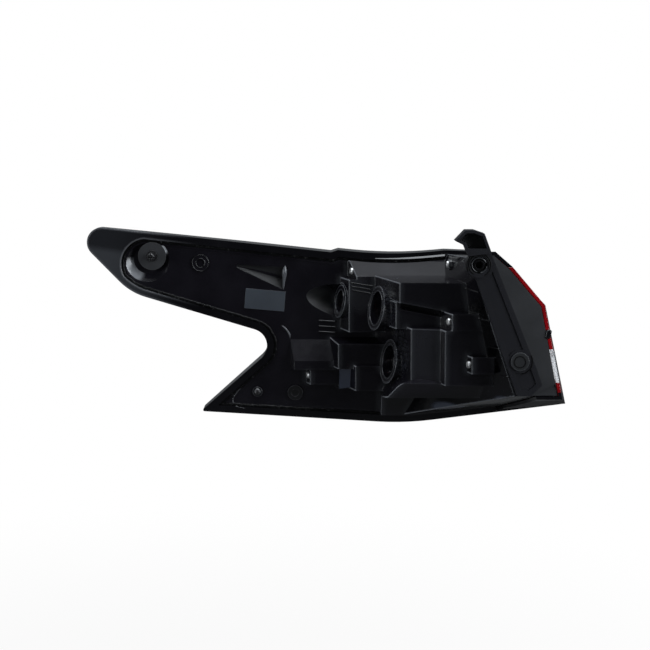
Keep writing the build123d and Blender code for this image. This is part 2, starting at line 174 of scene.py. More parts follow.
def smoothStep(wire, value, low, high, ends=(0.0, 1.0)):
    sockets = {"Value": value, 1: low, 2: high, 3: ends[0], 4: ends[1]}
    return wire.node("ShaderNodeMapRange", dict(interpolation_type="SMOOTHSTEP"), sockets)


# moulded plastics: tones, gloss, waves and grain, then how soft the edges are, the tone of their painted
# highlight, and how scuffed they are
# lengths are in metres, and the patches of another tone are placed in millimetres
# tone of the painted sheen on the walls beside the bulb holes
mottledSheenBlue = (0.016, 0.0175, 0.0235)
# tone of the painted shade on the end wall and the belly slope
paintedShadeBlack = (0.001, 0.001, 0.0014)
plastics = {
    "housingBlack": dict(
        dark=(0.0020, 0.0017, 0.0028), light=(0.0064, 0.0057, 0.0084), rough=0.2, roughSpread=0.16,
        waveScale=60, wave=0.09, grainScale=1500, grain=0.02,
        # the edge tone is a painted highlight on the edges, strongest on those that turn to the left past
        # the chambers' start; below it, a painted sheen lightens the faces near their left edges
        edge=0.0014, edgeTone=(0.21, 0.218, 0.235), scuff=0.35,
        wear=dict(low=0.142, high=0.152, ends=(0.0, 1.0), least=0.025),
        haze=dict(reach=0.009, gain=1.6, tone=(0.028, 0.0295, 0.033)),
        patches=[
            # painted highlights in the bowl round the washer, a crescent and a pale spot, then duller
            # patches on the two scoops
            dict(at=(-19, 6, -15), size=(13, 12, 15), tone=(0.16, 0.165, 0.175), rough=0.12),
            dict(at=(11, 5, 9), size=(9, 10, 9), tone=(0.5, 0.51, 0.53), rough=0.12),
            dict(at=(144, 8, -48), size=(48, 24, 32), tone=(0.004, 0.0042, 0.005), rough=0.5),
            dict(at=(108, 8, -16), size=(46, 20, 34), tone=(0.005, 0.0052, 0.006), rough=0.55),
            # painted sheen on the first wall, and painted sheen in a mottled pattern on the walls beside
            # the bulb holes
            dict(at=(206, -28, -36), size=(17, 16, 26), tone=(0.011, 0.011, 0.0135), rough=0.3, flats=True),
            dict(at=(238, -50, -44), size=(20, 34, 34), tone=mottledSheenBlue, rough=0.4, mottle=340),
            dict(at=(249, -55, -88), size=(16, 36, 32), tone=mottledSheenBlue, rough=0.4, mottle=340),
            # painted shade darkens the end wall and the belly slope, and painted bluish highlights light
            # the feet of the rear box
            dict(at=(322, -106, -66), size=(34, 44, 54), tone=paintedShadeBlack, rough=0.15),
            dict(at=(285, -55, -140), size=(80, 80, 34), tone=paintedShadeBlack, rough=0.15),
            dict(at=(292, -58, -143), size=(24, 32, 8), tone=(0.06, 0.07, 0.094), rough=0.4),
            dict(at=(335, -114, -125), size=(16, 14, 6), tone=(0.04, 0.046, 0.062), rough=0.4, flats=True),
        ],
    ),
    "borderBlack": dict(
        dark=(0.0012, 0.0011, 0.0016), light=(0.0042, 0.0041, 0.0052), rough=0.14, roughSpread=0.1,
        waveScale=40, wave=0.03, grainScale=1800, grain=0.006,
        edge=0.002, edgeTone=(0.09, 0.092, 0.098), scuff=0.2,
        # painted reflection: the arm tip is lighter, lighter still under the fold, and its edges take a
        # painted highlight
        zone=dict(axis="X", low=-0.05, high=0.03, tone=(0.011, 0.0115, 0.0132)),
        fold=dict(slope=-0.14, level=0.0003, soft=0.004, tone=(0.03, 0.0315, 0.035)),
        wear=dict(low=-0.02, high=0.05, ends=(0.8, 0.0), least=1.0),
        # painted shade: the border's foot is darker
        patches=[dict(at=(395, -70, -140), size=(95, 90, 26), tone=(0.0012, 0.0012, 0.0016), rough=0.5)],
    ),
    "bracketGrey": dict(
        dark=(0.0135, 0.0138, 0.0152), light=(0.025, 0.0258, 0.0278), rough=0.46, roughSpread=0.12,
        waveScale=90, wave=0.02, grainScale=2600, grain=0.12,
        edge=0.0005, edgeTone=(0.016, 0.0163, 0.0178), scuff=0.3,
        zone=dict(axis="Y", low=-0.132, high=-0.1275, tone=(0.0040, 0.0041, 0.0060)),
        # the bracket's edges take a faint painted highlight
        wear=dict(low=1.0, high=2.0, ends=(0.15, 0.0), least=1.0), shine=0.3,
    ),
    "plugGrey": dict(
        dark=(0.010, 0.0105, 0.0115), light=(0.021, 0.0215, 0.023), rough=0.34, roughSpread=0.1,
        waveScale=120, wave=0.02, grainScale=2400, grain=0.06,
        edge=0.0006, edgeTone=(0.04, 0.041, 0.044), scuff=0.2,
    ),
    "pinBlack": dict(
        dark=(0.0025, 0.0025, 0.0028), light=(0.0065, 0.0065, 0.0072), rough=0.3, roughSpread=0.12,
        waveScale=150, wave=0.02, grainScale=2400, grain=0.05,
        edge=0.0004, edgeTone=(0.03, 0.03, 0.032), scuff=0.3,
    ),
    "bezelDark": dict(
        dark=(0.012, 0.012, 0.013), light=(0.024, 0.024, 0.026), rough=0.18, roughSpread=0.08,
        waveScale=60, wave=0.02, grainScale=1600, grain=0.03,
        edge=0.0008, edgeTone=(0.04, 0.04, 0.042), scuff=0.1,
    ),
    "labelGrey": dict(
        dark=(0.029, 0.034, 0.042), light=(0.042, 0.049, 0.059), rough=0.36, roughSpread=0.1,
        waveScale=160, wave=0.01, grainScale=3200, grain=0.05,
        edge=0.0002, edgeTone=(0.08, 0.085, 0.092), scuff=0.25,
    ),
    "sealantBlack": dict(
        dark=(0.0005, 0.0005, 0.0006), light=(0.0015, 0.0015, 0.0017), rough=0.34, roughSpread=0.5,
        waveScale=260, wave=0.3, grainScale=1400, grain=0.25,
        edge=0.0004, edgeTone=(0.003, 0.003, 0.0032), scuff=0.0,
        shine=0.2,
    ),
    "foamGrey": dict(
        dark=(0.0066, 0.0070, 0.0084), light=(0.0138, 0.0145, 0.0168), rough=0.8, roughSpread=0.12,
        waveScale=300, wave=0.05, grainScale=2600, grain=0.35,
        edge=0.0004, edgeTone=(0.02, 0.02, 0.021), scuff=0.0,
    ),
    "ribBlack": dict(
        dark=(0.0014, 0.0013, 0.0018), light=(0.005, 0.0048, 0.006), rough=0.2, roughSpread=0.12,
        waveScale=120, wave=0.03, grainScale=2400, grain=0.04,
        edge=0.0003, edgeTone=(0.008, 0.008, 0.009), scuff=0.2,
    ),
    # painted highlight: a lit, bluish copy of the housing black, for the prong's sloped facet
    "facetSheen": dict(
        dark=(0.014, 0.0185, 0.032), light=(0.032, 0.04, 0.064), rough=0.42, roughSpread=0.1, shine=0.12,
        waveScale=120, wave=0.03, grainScale=2400, grain=0.06,
        edge=0.0005, edgeTone=(0.05, 0.055, 0.064), scuff=0.3,
    ),
    # lighter than the housing black: a painted highlight for the thin beads on the collars, the tray screw,
    # the stud and the prong's curl
    "collarEdge": dict(
        dark=(0.012, 0.0123, 0.0136), light=(0.03, 0.031, 0.034), rough=0.16, roughSpread=0.1,
        waveScale=120, wave=0.02, grainScale=2400, grain=0.03,
        edge=0.0003, edgeTone=(0.038, 0.039, 0.043), scuff=0.2,
    ),
    # painted highlight: far lighter than the black plastic it stands on, for the scoop's ridge and the curl
    # beside the notch
    "brightEdge": dict(
        dark=(0.05, 0.052, 0.057), light=(0.1, 0.104, 0.112), rough=0.14, roughSpread=0.1,
        waveScale=120, wave=0.02, grainScale=2400, grain=0.03,
        edge=0.0003, edgeTone=(0.17, 0.176, 0.19), scuff=0.2,
    ),
    "rubberBlack": dict(
        dark=(0.0012, 0.0012, 0.0013), light=(0.003, 0.003, 0.0032), rough=0.55, roughSpread=0.15,
        waveScale=200, wave=0.03, grainScale=2200, grain=0.12,
        edge=0.0005, edgeTone=(0.003, 0.003, 0.0032), scuff=0.1,
        shine=0.1,
    ),
}


# what the plastics share: scales of noise, how it is mixed, and depths in metres
plasticDetail = dict(
    cloud=24, cloudShare=0.7, toneStops=(0.3, 0.72), index=1.5, shine=0.5,
    drag=420, dragStretch=(1, 1, 0.12), dragFrom=0.6, dragGain=4, dragRough=0.2,
    # the painted edge highlight: its reach as a share of the edge radius, its least strength and what the
    # cloud adds to it
    wornReach=1.15, wornLeast=0.55, wornByCloud=0.9, waveDepth=0.002, grainDepth=0.0004,
)
# where the soft steps of the plastics begin and end
softSteps = dict(
    patchEdge=(0.55, 1.0), offFlats=(-0.995, -0.97), mottle=(0.36, 0.7),
    # steps of the painted edge highlight, of the edges turned to the left, and of the faces that take the
    # painted sheen
    worn=(0.03, 0.3), turnsLeft=(-0.45, -0.12), facesCar=(-0.98, -0.8),
)


def along(wire, axis):
    # the place on one axis of the lamp's frame
    return part(wire, here(wire), axis)


def inPatch(wire, patch):
    # one inside a soft round place and nothing outside, with faces square to the car left out
    # unless the patch takes its flats too
    scale = [1000 / size for size in patch["size"]]
    shift = [-at / size for at, size in zip(patch["at"], patch["size"])]
    local = wire.node("ShaderNodeMapping", None, {"Vector": here(wire), "Location": shift, "Scale": scale})
    inside = smoothStep(wire, distance(wire, local), *softSteps["patchEdge"], (1.0, 0.0))
    if patch.get("flats"):
        return inside
    facing = part(wire, faceNormal(wire), "Y")
    return inside * smoothStep(wire, facing, *softSteps["offFlats"])


def zoned(wire, colour, look):
    # another tone on the low side of a place on one axis, on the bracket a darker strip and on the border's
    # arm tip a painted reflection, and a lighter painted reflection under a fold line there
    zone = look["zone"]
    inside = smoothStep(wire, along(wire, zone["axis"]), zone["low"], zone["high"], (1.0, 0.0))
    colour = inside.mixed(colour, (*zone["tone"], 1))
    if "fold" in look:
        fold = look["fold"]
        above = along(wire, "Z") - along(wire, "X") * fold["slope"] - fold["level"]
        under = smoothStep(wire, above, -fold["soft"], fold["soft"], (1.0, 0.0)) * inside
        colour = under.mixed(colour, (*fold["tone"], 1))
    return colour


def makePlastic(name, look):
    made, wire = startMaterial(name)
    shared = plasticDetail
    spot = places(wire)
    cloud = noise(wire, spot, shared["cloud"])
    speck = noise(wire, spot, look["grainScale"], detail=2.0)
    drag = noise(wire, places(wire, shared["dragStretch"]), shared["drag"], detail=2.0, rough=0.7)
    scuffs = (drag - shared["dragFrom"]).clamped() * look["scuff"] * shared["dragGain"]
    tone = cloud * shared["cloudShare"] + speck * (1 - shared["cloudShare"])
    low, high = shared["toneStops"]
    colour = tone.ramp((low, look["dark"]), (high, look["light"]))
    if "zone" in look:
        colour = zoned(wire, colour, look)
    rough = look["rough"] + (cloud - 0.5) * look["roughSpread"] + scuffs * shared["dragRough"]
    # patches of painted highlight, painted shade and painted sheen, and duller places
    for patch in look.get("patches", []):
        inside = inPatch(wire, patch)
        if "mottle" in patch:
            blotch = noise(wire, spot, patch["mottle"], detail=4.0)
            inside = inside * smoothStep(wire, blotch, *softSteps["mottle"])
        colour = inside.mixed(colour, (*patch["tone"], 1))
        rough = rough + inside * (patch["rough"] - look["rough"])
    wave = noise(wire, spot, look["waveScale"], detail=1.0)
    edge = roundedEdge(wire, look["edge"])
    flat = faceNormal(wire)
    # painted highlight along the outer edges: rays sent inwards soon meet another face only near an outer
    # edge
    settings = dict(samples=6, inside=True, only_local=True)
    reach = {"Distance": shared["wornReach"] * look["edge"]}
    hollow = wire.node("ShaderNodeAmbientOcclusion", settings, reach, "AO")
    worn = smoothStep(wire, 1 - hollow, *softSteps["worn"])
    worn = worn * (shared["wornLeast"] + shared["wornByCloud"] * cloud)
    if "wear" in look:
        # the painted edge highlight is strongest on edges that turn to the left, where the light would
        # catch them, and lies only along part of the piece
        wear = look["wear"]
        span = smoothStep(wire, along(wire, "X"), wear["low"], wear["high"], wear["ends"])
        if "haze" in look:
            # painted sheen: faces that look to the car are lighter towards their left edges
            haze = look["haze"]
            wide = roundedEdge(wire, haze["reach"], samples=8)
            facing = smoothStep(wire, part(wire, flat, "Y"), *softSteps["facesCar"], (1.0, 0.0))
            near = (part(wire, wide, "X") * -haze["gain"]).clamped() * facing * span
            colour = near.mixed(colour, (*haze["tone"], 1))
        turned = part(wire, edge, "X")
        span = span * smoothStep(wire, turned, *softSteps["turnsLeft"], (1.0, wear["least"]))
        worn = worn * span
        edge = wire.node("ShaderNodeMix", dict(data_type="VECTOR"), {0: span, 4: flat, 5: edge}, 1)
    # the edges take the tone of the painted highlight
    colour = worn.mixed(colour, (*look["edgeTone"], 1))
    soft = bumped(wire, wave, shared["waveDepth"] * look["wave"], edge)
    fine = bumped(wire, speck, shared["grainDepth"] * look["grain"], soft)
    shader = wire.node("ShaderNodeBsdfPrincipled", None, {
        "Base Color": colour, "Roughness": rough.clamped(), "IOR": shared["index"], "Normal": fine,
        "Specular IOR Level": look.get("shine", shared["shine"]),
    })
    endTree(wire, shader)
    return made


# lens plastics: clear tints with fine flutes moulded in, as flute scale and depth
lenses = {
    "redLens": dict(
        tint=(0.3, 0.005, 0.008), deep=(0.2, 0.003, 0.005), rough=0.06, clear=0.4,
        flute=15, fluteDepth=0.02,
    ),
    "clearLens": dict(
        tint=(0.82, 0.84, 0.86), deep=(0.7, 0.72, 0.75), rough=0.08, clear=0.8,
        flute=21, fluteDepth=0.12,
    ),
    "bladeClear": dict(
        tint=(0.85, 0.86, 0.88), deep=(0.74, 0.76, 0.79), rough=0.1, clear=0.6,
        flute=35, fluteDepth=0.2,
    ),
    "reflexRed": dict(
        tint=(0.5, 0.01, 0.012), deep=(0.34, 0.004, 0.006), rough=0.12, clear=0.35,
        flute=45, fluteDepth=0.35,
    ),
}
lensDetail = dict(
    cloud=18, toneStops=(0.35, 0.65), roughSpread=0.06, edge=0.0008, fluteUnit=0.001, index=1.49,
)


def makeLens(name, look):
    made, wire = startMaterial(name)
    shared = lensDetail
    spot = places(wire)
    cloud = noise(wire, spot, shared["cloud"])
    low, high = shared["toneStops"]
    colour = cloud.ramp((low, look["deep"]), (high, look["tint"]))
    settings = dict(wave_type="BANDS", bands_direction="X", wave_profile="SIN")
    sockets = {"Vector": spot, "Scale": look["flute"], "Distortion": 0.0}
    flutes = wire.node("ShaderNodeTexWave", settings, sockets, "Fac")
    edge = roundedEdge(wire, shared["edge"])
    rough = look["rough"] + (cloud - 0.5) * shared["roughSpread"]
    shader = wire.node("ShaderNodeBsdfPrincipled", None, {
        "Base Color": colour, "Roughness": rough.clamped(), "IOR": shared["index"],
        "Transmission Weight": look["clear"],
        "Normal": bumped(wire, flutes, shared["fluteUnit"] * look["fluteDepth"], edge),
    })
    endTree(wire, shader)
    return made


# metals: plating tone, gloss and brushed streaks
metals = {
    "zincSteel": dict(dark=(0.72, 0.72, 0.71), light=(0.94, 0.94, 0.93), rough=0.42, streak=900),
    "screwBlack": dict(dark=(0.012, 0.012, 0.013), light=(0.03, 0.03, 0.032), rough=0.38, streak=700),
    "screwGrey": dict(dark=(0.09, 0.09, 0.092), light=(0.2, 0.2, 0.205), rough=0.34, streak=700),
    "reflectorSilver": dict(dark=(0.72, 0.72, 0.73), light=(0.86, 0.86, 0.87), rough=0.14, streak=200),
}
metalDetail = dict(
    cloud=260, cloudShare=0.6, toneStops=(0.3, 0.7), streakStretch=(0.1, 1, 1), streakDepth=0.00003,
    roughSpread=0.2, edge=0.0003,
)


def makeMetal(name, look):
    made, wire = startMaterial(name)
    shared = metalDetail
    cloud = noise(wire, places(wire), shared["cloud"])
    streak = noise(wire, places(wire, shared["streakStretch"]), look["streak"], detail=2.0)
    tone = cloud * shared["cloudShare"] + streak * (1 - shared["cloudShare"])
    low, high = shared["toneStops"]
    colour = tone.ramp((low, look["dark"]), (high, look["light"]))
    rough = look["rough"] + (cloud - 0.5) * shared["roughSpread"]
    shader = wire.node("ShaderNodeBsdfPrincipled", None, {
        "Base Color": colour, "Metallic": 1.0, "Roughness": rough.clamped(),
        "Normal": bumped(wire, streak, shared["streakDepth"], roundedEdge(wire, shared["edge"])),
    })
    endTree(wire, shader)
    return made


materials = {name: makePlastic(name, look) for name, look in plastics.items()}
materials.update({name: makeLens(name, look) for name, look in lenses.items()})
materials.update({name: makeMetal(name, look) for name, look in metals.items()})

finishes = {
    "housing": "housingBlack",
    "lens_border": "borderBlack",
    "lens_red": "redLens",
    "lens_clear": "clearLens",
    "sealant_bead": "sealantBlack",
    "end_bracket": "bracketGrey",
    "bracket_sleeve": "screwBlack",
    "bracket_grommet": "rubberBlack",
    "bracket_plug": "plugGrey",
    "locating_pin": "pinBlack",
    "pin_washer": "foamGrey",
    "reflector_screws": "zincSteel",
    "tray_screw": "screwGrey",
    "vent_cap": "pinBlack",
    "label": "labelGrey",
    "reflector_side": "reflectorSilver",
    "reflector_upper": "reflectorSilver",
    "reflector_lower": "reflectorSilver",
    "inner_bezel": "bezelDark",
    "light_blade": "bladeClear",
    "reflex_reflector": "reflexRed",
}
for node, finish in finishes.items():
    nodes[node].data.materials.clear()
    nodes[node].data.materials.append(materials[finish])
print("materials made:", len(materials))


# added pieces are measured in millimetres and seated on the frame from the car's side
unit = 0.001
merge = 1e-6
carSide = -0.4
towardLens = Vector((0, 1, 0))
down = Vector((0, 0, -1))


def skinOf(node):
    mesh = nodes[node].data
    return BVHTree.FromPolygons([v.co for v in mesh.vertices], [p.vertices for p in mesh.polygons])


skins = {node: skinOf(node) for node in ("housing", "end_bracket", "lens_border", "sealant_bead")}


def seated(node, x, z):
    # point of the node's skin that faces the car
    start = Vector((x * unit, carSide, z * unit))
    return skins[node].ray_cast(start, towardLens)[0]


def seatedFirst(names, x, z):
    # the point nearest the car among the nodes that lie there
    found = [seated(node, x, z) for node in names]
    return min((place for place in found if place), key=lambda place: place.y)


def seatedLine(node, start, end, steps=8):
    spots = [start[0] + (end[0] - start[0]) * i / steps for i in range(steps + 1)]
    rises = [start[1] + (end[1] - start[1]) * i / steps for i in range(steps + 1)]
    return [seated(node, x, z) for x, z in zip(spots, rises)]


def arc(centre, axis, radius, begin=0.0, end=360.0, steps=48):
    # points round an axis, angles in degrees from the top
    axis = Vector(axis).normalized()
    up = (Vector((0, 0, 1)) - axis * axis.z).normalized()
    side = up.cross(axis)
    turns = [math.radians(begin + (end - begin) * i / steps) for i in range(steps + 1)]
    return [Vector(centre) + radius * unit * (up * math.cos(t) + side * math.sin(t)) for t in turns]


class NodeTree:
    # geometry nodes: named inputs, nodes made by kind, settings and sockets
    def __init__(self, name, inputs):
        self.tree = bpy.data.node_groups.new(name, "GeometryNodeTree")
        self.tree.interface.new_socket("Geometry", in_out="OUTPUT", socket_type="NodeSocketGeometry")
        self.tree.interface.new_socket("Geometry", in_out="INPUT", socket_type="NodeSocketGeometry")
        for label, kind in inputs.items():
            self.tree.interface.new_socket(label, in_out="INPUT", socket_type=kind)
        self.given = self.tree.nodes.new("NodeGroupInput")

    def input(self, label):
        return self.given.outputs[label]

    def node(self, kind, settings=None, sockets=None, out=0):
        made = self.tree.nodes.new(kind)
        for name, value in (settings or {}).items():
            setattr(made, name, value)
        for name, value in (sockets or {}).items():
            if isinstance(value, bpy.types.NodeSocket):
                self.tree.links.new(value, made.inputs[name])
            else:
                made.inputs[name].default_value = value
        return made.outputs[out]

    def maths(self, operation, first, second):
        return self.node("ShaderNodeMath", dict(operation=operation), {0: first, 1: second})

    def attribute(self, name, kind):
        return self.node("GeometryNodeInputNamedAttribute", dict(data_type=kind), {"Name": name})

    def end(self, geometry):
        last = self.tree.nodes.new("NodeGroupOutput")
        real = self.node("GeometryNodeRealizeInstances", None, {0: geometry})
        sockets = {"Geometry": real, "Material": self.input("Material")}
        dressed = self.node("GeometryNodeSetMaterial", None, sockets)
        self.tree.links.new(dressed, last.inputs[0])
        return self.tree


def makeBeadTree():
    tree = NodeTree("beadAlongPath", {
        "Radius": "NodeSocketFloat", "Sides": "NodeSocketInt", "Material": "NodeSocketMaterial",
    })
    path = tree.node("GeometryNodeMeshToCurve", None, {0: tree.input("Geometry")})
    sizes = {"Resolution": tree.input("Sides"), "Radius": tree.input("Radius")}
    ring = tree.node("GeometryNodeCurvePrimitiveCircle", None, sizes)
    swell = tree.attribute("swell", "FLOAT")
    sockets = {"Curve": path, "Profile Curve": ring, "Scale": swell, "Fill Caps": True}
    bead = tree.node("GeometryNodeCurveToMesh", None, sockets)
    smooth = tree.node("GeometryNodeSetShadeSmooth", None, {0: bead})
    return tree.end(smooth)


def makeHeadTree():
    tree = NodeTree("headsOnPoints", {"Head": "NodeSocketObject", "Material": "NodeSocketMaterial"})
    head = tree.node("GeometryNodeObjectInfo", None, {"Object": tree.input("Head")}, "Geometry")
    facing = tree.attribute("facing", "FLOAT_VECTOR")
    turn = tree.node("FunctionNodeAlignRotationToVector", dict(axis="Z"), {"Vector": facing})
    spots = tree.node("GeometryNodeMeshToPoints", None, {0: tree.input("Geometry")})
    sockets = {"Points": spots, "Instance": head, "Rotation": turn}
    placed = tree.node("GeometryNodeInstanceOnPoints", None, sockets)
    return tree.end(placed)


def makeRoughTree():
    tree = NodeTree("roughRun", {
        "Depth": "NodeSocketFloat", "Scale": "NodeSocketFloat", "Grow": "NodeSocketFloat",
        "Material": "NodeSocketMaterial",
    })
    sockets = {"Scale": tree.input("Scale"), "Detail": 3.0}
    lumps = tree.node("ShaderNodeTexNoise", dict(noise_dimensions="3D"), sockets)
    lift = tree.maths("MULTIPLY", tree.maths("SUBTRACT", lumps, 0.5), tree.input("Depth"))
    amount = tree.maths("ADD", lift, tree.input("Grow"))
    normal = tree.node("GeometryNodeInputNormal")
    shift = tree.node("ShaderNodeVectorMath", dict(operation="SCALE"), {0: normal, "Scale": amount})
    sockets = {"Geometry": tree.input("Geometry"), "Offset": shift}
    moved = tree.node("GeometryNodeSetPosition", None, sockets)
    smooth = tree.node("GeometryNodeSetShadeSmooth", None, {0: moved})
    return tree.end(smooth)


trees = {"bead": makeBeadTree(), "heads": makeHeadTree(), "rough": makeRoughTree()}


def link(name, mesh):
    made = bpy.data.objects.new(name, mesh)
    scene.collection.objects.link(made)
    return made


def settle(made):
    # keeps what the modifiers give as a plain mesh
    graph = bpy.context.evaluated_depsgraph_get()
    mesh = bpy.data.meshes.new_from_object(made.evaluated_get(graph))
    made.modifiers.clear()
    made.data = mesh
    return made


def grown(made, tree, values):
    # runs the tree on the object
    change = made.modifiers.new("grow", "NODES")
    change.node_group = tree
    for item in tree.interface.items_tree:
        if item.in_out == "INPUT" and item.name in values:
            change[item.identifier] = values[item.name]
    return settle(made)


def meshOf(work, name, finish=None):
    # ends the work and hands over its mesh
    mesh = bpy.data.meshes.new(name)
    work.to_mesh(mesh)
    work.free()
    if finish:
        mesh.materials.append(materials[finish])
    return mesh


def keep(piece, slot, *stoodFor):
    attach(piece, "root")
    if stoodFor:
        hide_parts(*stoodFor)
    return piece


def beads(name, paths, radius, finish, slot, sides=8, swell=None):
    corners, edges = [], []
    for path in paths:
        first = len(corners)
        corners += path
        edges += [(first + i, first + i + 1) for i in range(len(path) - 1)]
    mesh = bpy.data.meshes.new(name)
    mesh.from_pydata(corners, edges, [])
    width = mesh.attributes.new("swell", "FLOAT", "POINT")
    width.data.foreach_set("value", swell or [1.0] * len(corners))
    values = {"Radius": radius * unit, "Sides": sides, "Material": materials[finish]}
    return keep(grown(link(name, mesh), trees["bead"], values), slot)


# ribs moulded on the housing: ends as (x, z), spaced by a step, and the rib's radius
ribSets = {
    "armRibs": dict(start=(166, -65), end=(183, -66), step=(0, -5.6), count=3, radius=0.9),
    "treadRibs": dict(start=(197.5, -24), end=(219, -27.5), step=(0.4, -3.6), count=3, radius=0.55),
    "upperWallRibs": dict(start=(229, -23), end=(239, -24), step=(0, -3.4), count=8, radius=0.4),
    "lowerWallRibs": dict(start=(242, -71), end=(250.5, -72), step=(0, -4.2), count=6, radius=0.5),
    "faceRibs": dict(start=(303, -22), end=(313, -22.5), step=(10.5, -26), count=4, radius=0.7),
}
for name, rib in ribSets.items():
    paths = []
    for i in range(rib["count"]):
        ends = [(x + i * rib["step"][0], z + i * rib["step"][1]) for x, z in (rib["start"], rib["end"])]
        paths.append(seatedLine("housing", *ends))
    beads(name, paths, rib["radius"], "ribBlack", "black_gloss")
print("ribs made:", len(ribSets))

# beads round the mouths of the bulb holes in a painted highlight tone, as radius beyond the hole and depth
# in the mouth
collarBeads = dict(beyond=(0.5, 4.9), sink=(0.0, 0.3), radius=0.5)
mouths = []
for mount in frame["record"]["mounts"]:
    if mount["name"].startswith("bulb_hole"):
        axis = Vector(mount["axis"])
        mouth = Vector(mount["pos_m"]) + axis * mount["dims"]["length_mm"] * unit / 2
        for beyond, sink in zip(collarBeads["beyond"], collarBeads["sink"]):
            mouths.append(arc(mouth - axis * sink * unit, axis, mount["dims"]["r_mm"] + beyond))
beads("collarBeads", mouths, collarBeads["radius"], "collarEdge", "black_gloss")

# beads that ring the arm's small boss: place, bead circles, the rim they are seated on, and bead radius
bossBeads = dict(at=(48, -7), circles=(8.1, 4.5), rimAt=6.0, radius=0.55)
bossAt = seated("housing", bossBeads["at"][0] + bossBeads["rimAt"], bossBeads["at"][1])
bossAt.x = bossBeads["at"][0] * unit
bossRings = [arc(bossAt, -towardLens, circle) for circle in bossBeads["circles"]]
beads("bossBeads", bossRings, bossBeads["radius"], "ribBlack", "black_gloss")

# bead that rings the tray's screw, in a painted highlight tone: its circle and radius
trayRing = dict(circle=4.6, radius=0.55)
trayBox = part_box("tray_screw")
trayAt = (trayBox[0] + trayBox[1]) / 2
trayAt.y = seated("housing", trayAt.x / unit + trayRing["circle"], trayAt.z / unit).y
ring = arc(trayAt, -towardLens, trayRing["circle"])
beads("trayRing", [ring], trayRing["radius"], "collarEdge", "black_gloss")

# end bracket: broken rings round its fixing, then the lip beside its plug and the ring on it
# each is a radius with its begin and end angle, and all share the bead radius
bracketMarks = dict(
    studRings=((9.1, -150, 110), (10.8, -120, 150)), studArcs=((6.4, -165, 70), (7.2, 100, 170)),
    plugLip=(11.6, 60, 165), plugRing=(5.2, 0, 360), radius=0.6,
)
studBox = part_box("bracket_sleeve")
studAt = (studBox[0] + studBox[1]) / 2
studAt.y = studBox[0].y
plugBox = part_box("bracket_plug")
plugAt = (plugBox[0] + plugBox[1]) / 2
plugAt.y = seated("end_bracket", plugAt.x / unit + bracketMarks["plugLip"][0], plugAt.z / unit).y
rings = [arc(studAt, -towardLens, *ring) for ring in bracketMarks["studRings"]]
beads("studRings", rings, bracketMarks["radius"], "rubberBlack", "black_rubber")
arcs = [arc(studAt, -towardLens, *ring) for ring in bracketMarks["studArcs"]]
beads("studArcs", arcs, bracketMarks["radius"], "collarEdge", "bracket_grey")
lip = arc(plugAt, -towardLens, *bracketMarks["plugLip"])
beads("plugLip", [lip], bracketMarks["radius"], "rubberBlack", "black_rubber")
plugAt.y = plugBox[0].y
ring = arc(plugAt, -towardLens, *bracketMarks["plugRing"])
beads("plugRing", [ring], bracketMarks["radius"], "rubberBlack", "black_rubber")
print("collar, boss, tray and bracket beads made")

# ridge at the end of the arm's scoop, in painted highlight: its ends, its radius and how that swells on the
# way
scoopRidge = dict(
    start=(132.2, 3.0, -9.5), end=(130.4, 3.0, -33.5), radius=2.5,
    swell=[0.1, 0.55, 0.85, 1.0, 1.0, 0.9, 0.78, 0.68, 0.6, 0.52, 0.44, 0.36, 0.1],
)
ridgeEnds = [Vector(scoopRidge[end]) * unit for end in ("start", "end")]
swell = scoopRidge["swell"]
steps = len(swell) - 1
ridge = [ridgeEnds[0].lerp(ridgeEnds[1], i / steps) for i in range(steps + 1)]
beads("scoopRidge", [ridge], scoopRidge["radius"], "brightEdge", "black_gloss", sides=16, swell=swell)

# curled edges of the tray beside the notch and at the end of the prong, in painted highlight: places as (x,
# z), radius and finish
trayCurls = {
    "notchCurl": dict(
        path=((129, -70), (132, -72.6), (134.6, -75.6), (136.4, -79.2), (137, -83)),
        radius=1.0, finish="brightEdge",
    ),
    "prongCurl": dict(
        path=(
            (94.5, -126), (87.5, -133), (82.5, -139), (79.5, -144), (79.5, -148.5), (83, -152), (92, -154),
        ),
        radius=0.7, finish="collarEdge",
    ),
}
# their ends are thin and swell to full size in about a fifth of the length
curlEnds = dict(tip=0.15, rise=4)


def smoothPath(corners, steps=6):
    # a curve through the corners, each stretch led by its neighbours
    spots = [Vector(corner) for corner in corners]
    spots = [2 * spots[0] - spots[1], *spots, 2 * spots[-1] - spots[-2]]
    line = []
    for before, start, end, after in zip(spots, spots[1:], spots[2:], spots[3:]):
        for i in range(steps):
            t = i / steps
            bend = (end - before) * t + (2 * before - 5 * start + 4 * end - after) * t * t
            line.append(start + (bend + (3 * start - before - 3 * end + after) * t ** 3) / 2)
    return [*line, spots[-2]]


for name, curl in trayCurls.items():
    line = smoothPath(curl["path"])
    fromEnd = [min(i, len(line) - 1 - i) / len(line) for i in range(len(line))]
    swell = [min(1.0, curlEnds["tip"] + curlEnds["rise"] * share) for share in fromEnd]
    seats = [seatedFirst(("housing", "lens_border", "sealant_bead"), spot.x, spot.y) for spot in line]
    beads(name, [seats], curl["radius"], curl["finish"], "black_gloss", sides=10, swell=swell)

# sealant pressed out at the corner of the rear box: its path and radius
cornerSealant = dict(
    path=((287, 2.4, -0.9), (290.5, 2.4, -1.4), (293, 2.6, -2.2), (297, 3.0, -3.6)), radius=1.5,
)
squeezed = [Vector(spot) * unit for spot in cornerSealant["path"]]
beads("cornerSealant", [squeezed], cornerSealant["radius"], "sealantBlack", "sealant")

